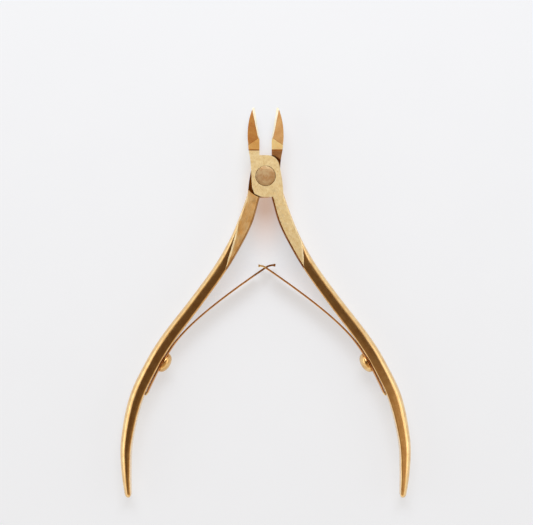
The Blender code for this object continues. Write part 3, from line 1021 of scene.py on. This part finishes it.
    def build(self) -> None:
        """Makes the half, dresses it and hangs it on its body."""
        finishes = [finish_material(finish) for finish in self.finishes]
        item = shown(self.head(), self.node + "_forging", finishes)
        carve(item, HandleForm(Side.RIGHT).solid(), "UNION")
        shoulder = post(self.boss_radius + self.shoulder_clearance, -BLOCK,
                        (DEPTH + self.lap_clearance) / 2, 160)
        carve(item, mark_faces(shoulder, Zone.LAP), "DIFFERENCE")
        carve(item, self.pivot_hole(), "DIFFERENCE")
        for under in (False, True):
            facet = self.sloped_block(self.facet, self.step_height, Zone.FACET)
            blade = self.sloped_block(self.blade, self.step_height + self.step_ramp, Zone.BLADE)
            for block in (facet, blade, self.step_block(), self.bevel_block()):
                carve(item, self.flipped(block) if under else block, "DIFFERENCE")
        stud = post(SpringRivet.stud + self.stud_clearance,
                    -SpringRivet.stud_depth - self.stud_clearance, BLOCK / 4)
        stud.transform(LeafSpring.seat(Side.RIGHT))
        carve(item, mark_faces(stud, Zone.LAP), "DIFFERENCE")
        # Ground flat above the boss becomes the jaw base, which on the far half is painted browner
        # as shade.
        jaw_base = self.boss_radius * self.jaw_base_start
        for face in item.data.polygons:
            if face.material_index == Zone.GROUND_FLAT and face.center.y > jaw_base:
                face.material_index = Zone.JAW_BASE
        self.map_grain(item)
        if self.side is Side.LEFT:
            middle = Matrix.Translation((0.0, 0.0, DEPTH / 2))
            turn = middle @ Matrix.Rotation(pi, 4, "Y") @ middle.inverted()
            item.data.transform(turn)
        smooth(item, self.sharp)
        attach(item, self.body)
        settle(item, self.node)


@dataclass
class LeafSpring:
    """A strip blanked flat, pierced, and bent into its bow and its curled end.

    Attributes:
        side: The handle that it is riveted to.
        tongue: Whether it ends in a tongue with a T head, or has the window for it.
        bead: How much thicker its rounded tip is, over the last few rings.
        bed_share: Share of its tail that has come down onto the handle.
        bow: How much it leans past its chord at the crossing.
        tongue_below: How far below the crossing the tongue starts; the window likewise.
        chamfer: Width of its broken corners, as a share of its thickness.
    """

    side: Side
    body: str
    leaf_body: str
    node: str
    tongue: bool
    thickness: float = 0.5 * MM
    bead: float = 1.5
    bead_rings: int = 3
    chamfer: float = 0.3
    sharp: float = radians(35.0)
    root_width: float = 4.5 * MM
    tip_width: float = 3.8 * MM
    clearance: float = 0.06 * MM
    seat_reach: float = 49.0 * MM
    tail_length: float = 10.0 * MM
    tail_lift: float = 0.12 * MM
    bed_share: float = 0.67
    flat_above_rivet: float = 0.75 * MM
    root_pull: float = 0.15
    tip_pull: float = 0.75
    bow: float = radians(7.8)
    crossing_reach: float = 24.15 * MM
    tip_turn: float = radians(42.0)
    tongue_tip: float = 2.75 * MM
    window_tip: float = 2.0 * MM
    tongue_width: float = 1.4 * MM
    tongue_below: float = 3.7 * MM
    tongue_above: float = 1.5 * MM
    head_width: float = 3.0 * MM
    window_gap: float = 0.4 * MM
    window_below: float = 3.4 * MM
    window_above: float = 1.4 * MM
    tail_steps: int = 14
    free_steps: int = 60
    tip_steps: int = 14

    @staticmethod
    def seat(side: Side) -> Matrix:
        """Finds the place of a leaf's rivet.

        Args:
            side: The handle's side.

        Returns:
            A frame whose Z leaves the handle's inner face and whose Y follows it up.
        """
        handle = HandleForm(side)
        share = handle.share_at(LeafSpring.seat_reach)
        inward = handle.inward(share)
        along = -handle.direction(share)
        frame = Matrix((along.cross(inward), along, inward)).transposed().to_4x4()
        frame.translation = handle.inner_face(share)
        return frame

    def heading(self, rise: float) -> Vector:
        """Unit vector from the handle towards the crossing, at an angle of rise."""
        return Vector((-self.side * cos(rise), sin(rise), 0.0))

    def line(self) -> tuple[Ring, float]:
        """Draws the centre line from the tail to the tip.

        Returns:
            Its points, and the angle at which it rises through the crossing.
        """
        handle = HandleForm(self.side)
        offset = self.clearance + self.thickness / 2
        seat = handle.share_at(self.seat_reach)
        tail = handle.share_along(seat, self.tail_length)
        top = handle.share_along(seat, -self.flat_above_rivet)
        points = []
        for i in range(self.tail_steps + 1):
            along = i / self.tail_steps
            share = tail + (top - tail) * along
            lift = self.tail_lift * max(1.0 - along / self.bed_share, 0.0) if i else 0.0
            points.append(handle.inner_face(share) + handle.inward(share) * (offset + lift))
        start = points[-1]
        end = Vector((0.0, -self.crossing_reach, DEPTH / 2))
        chord = end - start
        rise = atan2(chord.y, abs(chord.x)) - self.bow
        ahead = handle.share_along(top, -self.root_pull * chord.length)
        first = handle.inner_face(ahead) + handle.inward(ahead) * offset
        second = end - self.heading(rise) * self.tip_pull * chord.length
        for i in range(1, self.free_steps + 1):
            t = i / self.free_steps
            point = (1 - t)**3 * start + 3 * (1 - t)**2 * t * first
            point += 3 * (1 - t) * t**2 * second + t**3 * end
            points.append(handle.kept_clear(point, offset))
        length = self.tongue_tip if self.tongue else self.window_tip
        for i in range(self.tip_steps):
            turn = rise - self.tip_turn * (i + 0.5) / self.tip_steps
            points.append(points[-1] + self.heading(turn) * length / self.tip_steps)
        return points, rise

    def build(self) -> None:
        """Bends the strip along its line, pierces it and shades it smooth."""
        points, rise = self.line()
        crossing = len(points) - 1 - self.tip_steps
        lengths = [0.0]
        for before, after in zip(points, points[1:]):
            lengths.append(lengths[-1] + (after - before).length)
        rings = []
        soft = self.thickness * self.chamfer
        for i, point in enumerate(points):
            ahead = points[min(i + 1, len(points) - 1)] - points[max(i - 1, 0)]
            across = UP.cross(ahead).normalized()
            share = min(i / crossing, 1.0)
            half = (self.root_width + (self.tip_width - self.root_width) * share) / 2
            thin = self.thickness / 2
            if i >= len(points) - self.bead_rings:
                thin *= self.bead
            ring = []
            for a, b in ((-1, -1), (1, -1), (1, 1), (-1, 1)):
                first = across * a * (thin - soft * (a != b)) + UP * b * (half - soft * (a == b))
                second = across * a * (thin - soft * (a == b)) + UP * b * (half - soft * (a != b))
                ring += [point + first, point + second]
            rings.append(ring)
        sides = len(rings[0])
        zones = [[1] * sides] + [[0] * sides] * (crossing - 1) + [[1] * sides] * self.tip_steps
        finishes = [finish_material(SPRING_STRIP), finish_material(SPRING_TIP)]
        item = shown(swept(rings, zones), self.node + "_strip", finishes)
        hole = post(SpringRivet.stud + ForgedHalf.stud_clearance, -BLOCK / 4, BLOCK / 4)
        hole.transform(self.seat(self.side))
        carve(item, hole, "DIFFERENCE")
        for along, across in self.cuts():
            carve(item, self.crossing_block(rise, along, across), "DIFFERENCE")
        self.map_strip(item, points, lengths)
        smooth(item, self.sharp)
        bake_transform(item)
        settle(item, self.node)

    def cuts(self) -> list[tuple[Span, Span]]:
        """Lists what is blanked out of the strip at the crossing.

        Returns:
            For each cut, its span along the leaf and its span across it.
        """
        if not self.tongue:
            half = self.tongue_width / 2 + self.window_gap
            return [((-self.window_below, self.window_above), (-half, half))]
        cuts = []
        for along, inner in (((-self.tongue_below, self.tongue_above), self.tongue_width / 2),
                             ((self.tongue_above / 2, BLOCK / 4), self.head_width / 2)):
            cuts += [(along, (inner, BLOCK / 2)), (along, (-BLOCK / 2, -inner))]
        return cuts

    def crossing_block(self, rise: float, along: Span, across: Span) -> Shape:
        """Makes a block square to the leaf at the crossing.

        Args:
            rise: The leaf's angle there.
            along: Where the block starts and ends along the leaf.
            across: Where it starts and ends across the leaf.

        Returns:
            The block.
        """
        shape = block(along, (-BLOCK / 10, BLOCK / 10), across)
        place = Matrix.Translation((0.0, -self.crossing_reach, DEPTH / 2))
        shape.transform(place @ Matrix.Rotation(rise, 4, "Z"))
        if self.side is Side.RIGHT:
            bmesh.ops.scale(shape, vec=(-1.0, 1.0, 1.0), verts=shape.verts)
            bmesh.ops.reverse_faces(shape, faces=shape.faces)
        return shape

    def map_strip(self, item: Piece, points: Ring,
                  lengths: list[float]) -> None:
        """Gives the strip a map in metres: U along it, V across it.

        Args:
            item: The strip.
            points: Its centre line.
            lengths: How far along the line each point lies.
        """
        layer = item.data.uv_layers.new(name="strip")
        for loop in item.data.loops:
            place = item.data.vertices[loop.vertex_index].co
            nearest = min(range(len(points)), key=lambda i: (points[i] - place).length_squared)
            layer.data[loop.index].uv = (lengths[nearest], place.z)


@dataclass
class PivotRivet:
    """Countersunk rivet with two flush turned heads."""

    body: str = "front_body"
    node: str = "pivot_rivet"
    head: float = 2.57 * MM
    shank: float = 1.7 * MM
    head_depth: float = 0.8 * MM
    chamfer: float = 0.13 * MM
    chamfer_steps: int = 4
    crown: float = 0.04 * MM
    crown_steps: int = 4
    sharp: float = radians(25.0)

    def build(self) -> None:
        """Turns the rivet, head to head."""
        half = DEPTH / 2
        slope = self.head - self.shank
        upper = [(self.shank, 0.0), (self.shank, half - self.head_depth - slope),
                 (self.head, half - self.head_depth), (self.head, half - self.chamfer)]
        rim = self.head - self.chamfer
        for aside, up in quarter(self.chamfer_steps)[1:]:
            upper.append((rim + self.chamfer * aside, half - self.chamfer * (1 - up)))
        for i in range(1, self.crown_steps + 1):
            share = 1 - i / self.crown_steps
            upper.append((rim * share, half + self.crown * (1 - share**2)))
        lower = [(radius, -height) for radius, height in reversed(upper[1:])]
        profile = [(radius, half + height) for radius, height in lower + upper]
        item = shown(turned(profile, 128), self.node + "_turned", [finish_material(TURNED_HEAD)])
        smooth(item, self.sharp)
        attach(item, self.body)
        settle(item, self.node)


@dataclass
class SpringRivet:
    """Domed rivet that holds a leaf spring on its handle.

    Attributes:
        taper: Shares of the stud's radius and depth at which its end narrows.
        neck: Share of the dome's radius that lies flat on the leaf.
        seam: Gap between the dome and the leaf.
    """

    side: Side
    body: str
    node: str
    radius: float = 2.68 * MM
    height: float = 1.90 * MM
    stud: float = 1.0 * MM
    stud_depth: float = 1.9 * MM
    taper: Span = (0.85, 0.92)
    neck: float = 0.9
    brim: float = 0.18 * MM
    brim_steps: int = 4
    dome_steps: int = 14
    seam: float = 0.03 * MM
    sharp: float = radians(35.0)

    def build(self) -> None:
        """Turns the dome and its stud and sets them on the handle's inner face."""
        base = LeafSpring.clearance + LeafSpring.thickness + self.seam
        profile = [(0.0, -self.stud_depth), (self.stud * self.taper[0], -self.stud_depth),
                   (self.stud, -self.stud_depth * self.taper[1]), (self.stud, base),
                   (self.radius * self.neck, base)]
        for aside, up in quarter(self.brim_steps):
            profile.append((self.radius - self.brim * (1 - up), base + self.brim * (1 - aside)))
        rise = self.height - self.seam - self.brim
        for aside, up in quarter(self.dome_steps)[1:]:
            profile.append((self.radius * aside, base + self.brim + rise * up))
        item = shown(turned(profile), self.node + "_dome", [finish_material(TUMBLED_DOME)])
        item.data.transform(LeafSpring.seat(self.side))
        smooth(item, self.sharp)
        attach(item, self.body)
        settle(item, self.node)


@dataclass
class Studio:
    """Pale floor, soft light and the camera straight above the tool.

    Attributes:
        corner_fade: How far to the near right the dark ceiling starts and ends turning light.
        ceiling_fade: Heights between which the wall turns to ceiling.
        cornice_fade: Heights between which the white wall turns gold.
        room_strength: The room's strength at its left and its right.
        boxes: Each soft box's name, place, size and power in watts.
    """

    floor_size: float = 3.0
    floor_drop: float = 0.1 * MM
    floor_colour: str = "#A1A7B0"
    floor_fibre: str = "#9EA4AD"
    floor_light: str = "#F9FBFF"
    # Warm tint painted into the card's glow under the tool, as light thrown down from the gold.
    floor_painted_bounce: str = "#EECDBC"
    floor_glow: float = 0.565
    floor_roughness: float = 0.9
    fibre_size: float = 20.0 * MM
    wall: tuple[float, ...] = (1.0, 1.0, 1.0, 1.0)
    cornice: tuple[float, ...] = (1.0, 0.80, 0.50, 1.0)
    ceiling: tuple[float, ...] = (0.115, 0.066, 0.030, 1.0)
    far_ceiling: tuple[float, ...] = (0.50, 0.34, 0.19, 1.0)
    # Where the painted warm light centres, how far it reaches and how much it is squeezed across.
    painted_bounce_reach: float = 7.5 * MM
    painted_bounce_size: float = 17.0 * MM
    painted_bounce_squeeze: float = 2.1
    corner_fade: Span = (0.06, 0.26)
    ceiling_fade: Span = (0.32, 0.70)
    cornice_fade: Span = (0.15, 0.45)
    room_strength: Span = (1.1, 0.95)
    boxes: Sequence[tuple] = (("top_box", (0.0, 0.40, 0.42), (0.50, 0.26), 2.6),
                              ("left_box", (-0.6, 0.0, 0.26), (0.50, 0.36), 0.3),
                              ("right_box", (0.6, 0.0, 0.26), (0.50, 0.36), 0.35))
    aim: tuple[float, float, float] = (0.0, -0.03, 0.0)
    distance: float = 353.0 * MM
    view_width: float = 141.5 * MM
    sensor: float = 36.0
    centre: tuple[float, float] = (0.24 * MM, -22.8 * MM)
    middle: float = DEPTH / 2

    def lay_floor(self) -> None:
        """Lays a large matt sheet under the tool."""
        shape = bmesh.new()
        bmesh.ops.create_grid(shape, x_segments=1, y_segments=1, size=self.floor_size / 2)
        bmesh.ops.translate(shape, vec=(0.0, 0.0, -self.floor_drop), verts=shape.verts)
        # Matt white card: without shine, with a little fibre in its tone, and an even glow except
        # for a warm patch of light painted under the tool.
        card = bpy.data.materials.new("matt_white_card")
        card.use_nodes = True
        tree = card.node_tree
        place = add_node(tree, "ShaderNodeTexCoord").outputs["Object"]
        fibre = add_node(tree, "ShaderNodeTexNoise", {
            "Vector": place, "Scale": 1.0 / self.fibre_size, "Detail": 3.0}).outputs["Fac"]
        # A warm pool of light painted into the card's glow between the shanks, standing in for the
        # gold light that the tool throws down there.
        gap = add_node(tree, "ShaderNodeMapping", {
            "Vector": place, "Location": (0.0, self.painted_bounce_reach, 0.0),
            "Scale": (self.painted_bounce_squeeze, 1.0, 1.0)}).outputs["Vector"]
        away = add_node(tree, "ShaderNodeVectorMath", {0: gap},
                        operation="LENGTH").outputs["Value"]
        painted_bounce_share = add_node(tree, "ShaderNodeMapRange", {
            "Value": away, "From Min": 0.0, "From Max": self.painted_bounce_size, "To Min": 1.0,
            "To Max": 0.0}, interpolation_type="SMOOTHSTEP").outputs["Result"]
        shader = tree.nodes["Principled BSDF"]
        for name, share, first, second in (
                ("Base Color", fibre, self.floor_colour, self.floor_fibre),
                ("Emission Color", painted_bounce_share, self.floor_light, self.floor_painted_bounce)):
            mix = add_node(tree, "ShaderNodeMix", {
                "Factor": share, 6: linear(first), 7: linear(second)}, data_type="RGBA")
            tree.links.new(mix.outputs[2], shader.inputs[name])
        for name, value in (("Emission Strength", self.floor_glow),
                            ("Roughness", self.floor_roughness), ("Specular IOR Level", 0.0)):
            shader.inputs[name].default_value = value
        shown(shape, "floor", [card])

    def hang_light(self) -> None:
        """Sets a white room with a dim ceiling, and soft boxes round the tool."""
        world = bpy.data.worlds.new("white_room")
        world.use_nodes = True
        bpy.context.scene.world = world
        tree = world.node_tree
        direction = add_node(tree, "ShaderNodeTexCoord").outputs["Generated"]
        split = add_node(tree, "ShaderNodeSeparateXYZ", {0: direction}).outputs
        corner = add_node(tree, "ShaderNodeVectorMath", {0: direction, 1: (0.5, -1.0, 0.0)},
                          operation="DOT_PRODUCT").outputs["Value"]
        # The ceiling is dark over the tool and lighter towards the near right corner.  The
        # walls turn gold below it, so a rounded edge shades through gold.  The left wall is
        # the window side, so the room is dimmer to the right.
        ramps = []
        for value, start, end, low, high in (
                (corner, *self.corner_fade, 0.0, 1.0),
                (split["Z"], *self.cornice_fade, 0.0, 1.0),
                (split["Z"], *self.ceiling_fade, 0.0, 1.0),
                (split["X"], -1.0, 1.0, *self.room_strength)):
            ramps.append(add_node(tree, "ShaderNodeMapRange", {
                "Value": value, "From Min": start, "From Max": end, "To Min": low,
                "To Max": high}).outputs["Result"])
        mixes = []
        for share, first, second in ((ramps[0], self.ceiling, self.far_ceiling),
                                     (ramps[1], self.wall, self.cornice)):
            mixes.append(add_node(tree, "ShaderNodeMix", {
                "Factor": share, 6: first, 7: second}, data_type="RGBA").outputs[2])
        room = add_node(tree, "ShaderNodeMix", {
            "Factor": ramps[2], 6: mixes[1], 7: mixes[0]}, data_type="RGBA")
        back = tree.nodes["Background"]
        tree.links.new(room.outputs[2], back.inputs["Color"])
        tree.links.new(ramps[3], back.inputs["Strength"])
        for name, place, size, power in self.boxes:
            light = bpy.data.lights.new(name, "AREA")
            light.shape = "RECTANGLE"
            light.size, light.size_y = size
            light.energy = power
            lamp = bpy.data.objects.new(name, light)
            lamp.location = place
            aim = Vector(self.aim) - lamp.location
            lamp.rotation_euler = aim.to_track_quat("-Z", "Y").to_euler()
            bpy.context.scene.collection.objects.link(lamp)

    def set_camera(self) -> None:
        """Hangs the camera above the tool, looking straight down."""
        lens = bpy.data.cameras.new("overhead")
        lens.sensor_width = self.sensor
        lens.lens = self.sensor * self.distance / self.view_width
        lens.clip_start = 0.01
        camera = bpy.data.objects.new("overhead", lens)
        camera.location = (*self.centre, self.middle + self.distance)
        bpy.context.scene.collection.objects.link(camera)
        bpy.context.scene.camera = camera

    def build(self) -> None:
        """Sets the whole stage."""
        self.lay_floor()
        self.hang_light()
        self.set_camera()
        bpy.context.scene.view_settings.view_transform = "Standard"


MADE: dict[str, bpy.types.Material] = {}


def finish_material(finish: MetalFinish) -> bpy.types.Material:
    """Makes each finish's material once.

    Args:
        finish: The finish.

    Returns:
        Its material.
    """
    if finish.name not in MADE:
        MADE[finish.name] = finish.build()
    return MADE[finish.name]


def settle(item: Piece, node: str) -> None:
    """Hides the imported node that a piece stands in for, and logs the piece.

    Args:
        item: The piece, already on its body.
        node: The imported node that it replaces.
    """
    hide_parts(node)
    LOG.info("%s: %d vertices, %d faces", item.name, len(item.data.vertices),
             len(item.data.polygons))


def main() -> None:
    """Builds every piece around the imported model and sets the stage."""
    logging.basicConfig(level=logging.INFO, format="%(name)s %(message)s")
    Studio().build()
    # In these slot lists the darker and paler copies of one finish are painted shade and light,
    # the pale edges are a painted highlight and the brown recesses are painted shade.
    ForgedHalf(Side.RIGHT, "front_body", "front_half", "satin_gold",
               [PALE_SATIN, MIRROR, PAINTED_HIGHLIGHT, FACET_GRIND_SHADED, SHADED_GRIND, PAINTED_SHADE, HONED,
                PAINTED_SHADE, PAINTED_SHADE, PALE_SATIN]).build()
    ForgedHalf(Side.LEFT, "back_body", "back_half", "polished_gold",
               [SHADED_SATIN, MIRROR, PAINTED_HIGHLIGHT, FACET_GRIND_LIT, LIT_GRIND, PAINTED_SHADE, HONED, PAINTED_SHADE,
                LIT_GRIND, JAW_BASE_SHADE]).build()
    PivotRivet().build()
    SpringRivet(Side.LEFT, "back_body", "left_spring_rivet").build()
    SpringRivet(Side.RIGHT, "front_body", "right_spring_rivet").build()
    LeafSpring(Side.LEFT, "back_body", "left_leaf", "left_leaf_spring", True).build()
    LeafSpring(Side.RIGHT, "front_body", "right_leaf", "right_leaf_spring", False).build()


if __name__ == "__main__":
    main()
